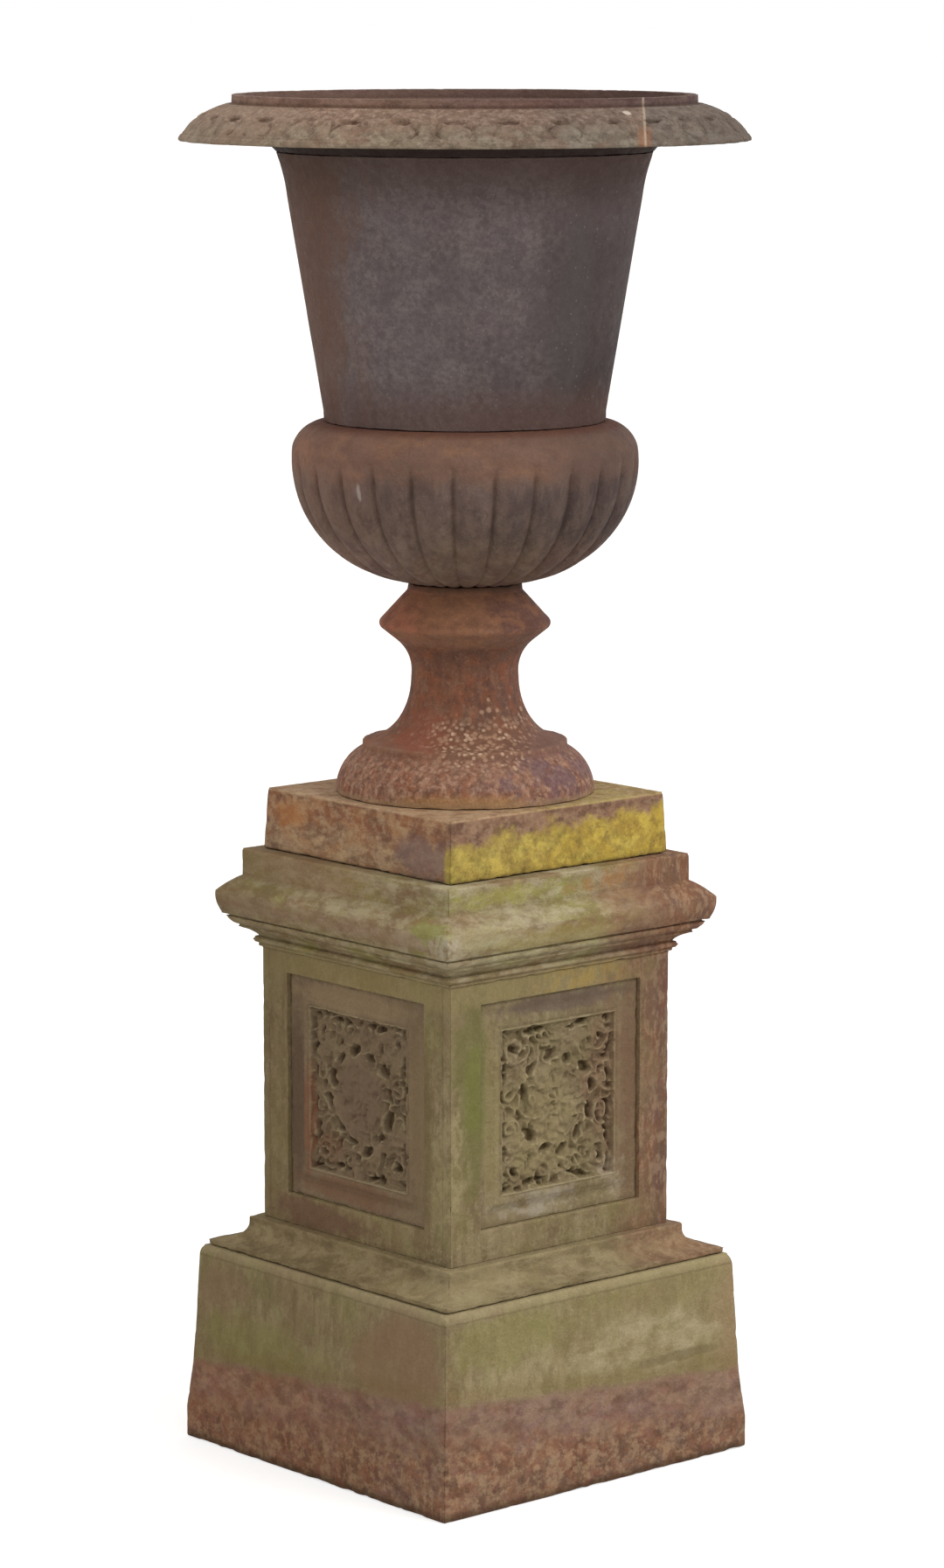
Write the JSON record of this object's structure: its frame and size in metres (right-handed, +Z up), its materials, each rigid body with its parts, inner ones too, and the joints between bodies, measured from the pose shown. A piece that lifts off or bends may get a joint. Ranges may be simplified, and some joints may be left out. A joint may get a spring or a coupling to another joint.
{
  "type": "garden urn on pedestal",
  "caption": "Campana garden urn with a wide rolled rim, gadrooned bowl and knopped stem, loose on a square panelled pedestal with moulded cap and splayed plinth.",
  "frame": {"origin": "middle of the underside of the plinth, on the floor", "axes": "+Z up along the axis of the urn, the panelled faces of the pedestal look along +X, -X, +Y and -Y"},
  "size_m": [0.46, 0.46, 1.1145],
  "materials": {
    "base_iron": "rusted casting, mud splashed at the foot",
    "pedestal_iron": "rusted casting with olive lichen",
    "plaque_iron": "rusted relief casting, dark in the hollows",
    "block_iron": "rust and yellow lichen",
    "stem_iron": "orange rust",
    "bowl_iron": "brown rust, worn on the lobes",
    "drum_iron": "dark purple grey patina, speckled",
    "rim_iron": "grey tan weathered relief",
    "rod_steel": "rusted mild steel"
  },
  "bodies": {
    "pedestal": {"plinth": "base_iron", "base_moulding": "pedestal_iron", "panel_front": "pedestal_iron", "panel_right": "pedestal_iron", "panel_back": "pedestal_iron", "panel_left": "pedestal_iron", "plaque_front": "plaque_iron", "plaque_right": "plaque_iron", "plaque_back": "plaque_iron", "plaque_left": "plaque_iron", "cornice_cap": "pedestal_iron", "tie_rods": "rod_steel", "tie_washers": "rod_steel", "tie_nuts": "rod_steel", "plaque_screws": "rod_steel"},
    "urn": {"foot_block": "block_iron", "stem_foot": "stem_iron", "gadroon_bowl": "bowl_iron", "drum": "drum_iron", "rim_ring": "rim_iron", "centre_rod": "rod_steel", "rod_washers": "rod_steel", "rod_nuts": "rod_steel", "drum_bolts": "rod_steel", "drum_nuts": "rod_steel", "drum_clips": "rod_steel", "rim_screws": "rod_steel"}
  },
  "joints": [
    {"name": "urn_lift", "type": "slide", "parent": "pedestal", "child": "urn", "axis": [0, 0, 1], "range_m": [0, 0.15]}
  ]
}
